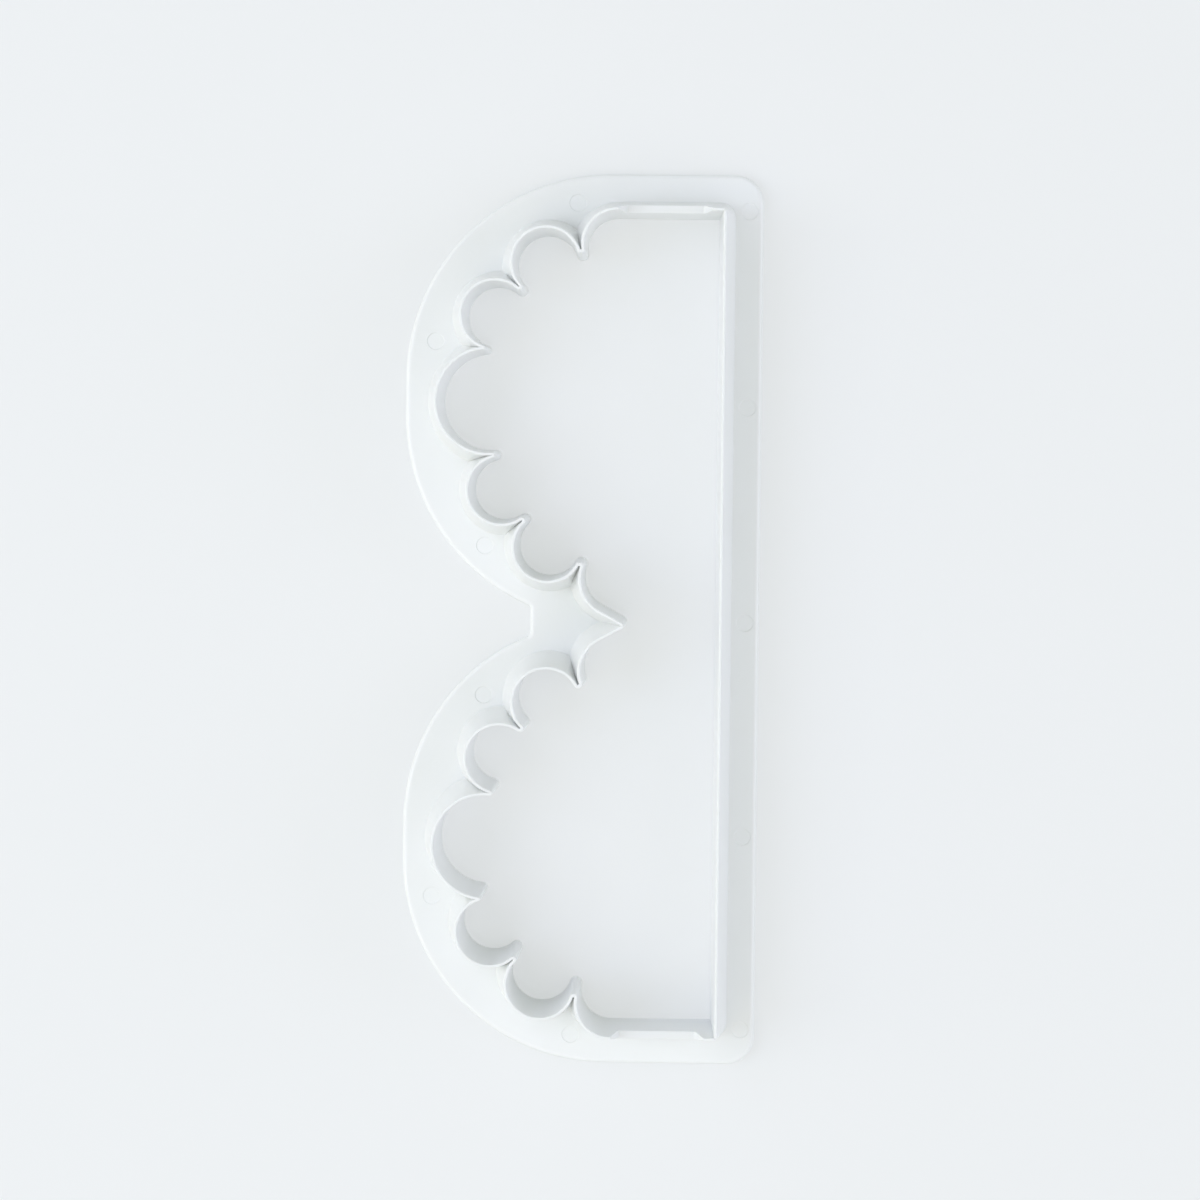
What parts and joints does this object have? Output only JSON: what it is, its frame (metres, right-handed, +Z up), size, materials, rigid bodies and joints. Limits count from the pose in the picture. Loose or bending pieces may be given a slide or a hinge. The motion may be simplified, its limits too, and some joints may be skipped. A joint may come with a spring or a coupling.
{
  "type": "scalloped border cutter",
  "caption": "One-piece white plastic cutter for scalloped sugar paste borders: a thin frilled blade round an open middle, on a flat flange that the hand presses.",
  "frame": {"origin": "middle of the overall box, on the surface that the flange lies on", "axes": "+X towards the long straight side, +Y along the cutter, +Z up to the cutting edge"},
  "size_m": [0.053, 0.133, 0.0134],
  "materials": {
    "white_plastic": "smooth moulded white, satin gloss, very slightly translucent where it is thin"
  },
  "bodies": {
    "root": {"far_scallop_1": "white_plastic", "far_scallop_2": "white_plastic", "far_scallop_3": "white_plastic", "far_scallop_4": "white_plastic", "far_scallop_5": "white_plastic", "far_scallop_6": "white_plastic", "far_scallop_7": "white_plastic", "far_end_blade": "white_plastic", "far_hump_flange": "white_plastic", "far_end_flange": "white_plastic", "near_scallop_1": "white_plastic", "near_scallop_2": "white_plastic", "near_scallop_3": "white_plastic", "near_scallop_4": "white_plastic", "near_scallop_5": "white_plastic", "near_scallop_6": "white_plastic", "near_scallop_7": "white_plastic", "near_end_blade": "white_plastic", "near_hump_flange": "white_plastic", "near_end_flange": "white_plastic", "long_blade": "white_plastic", "middle_point": "white_plastic", "long_flange": "white_plastic"}
  },
  "joints": []
}
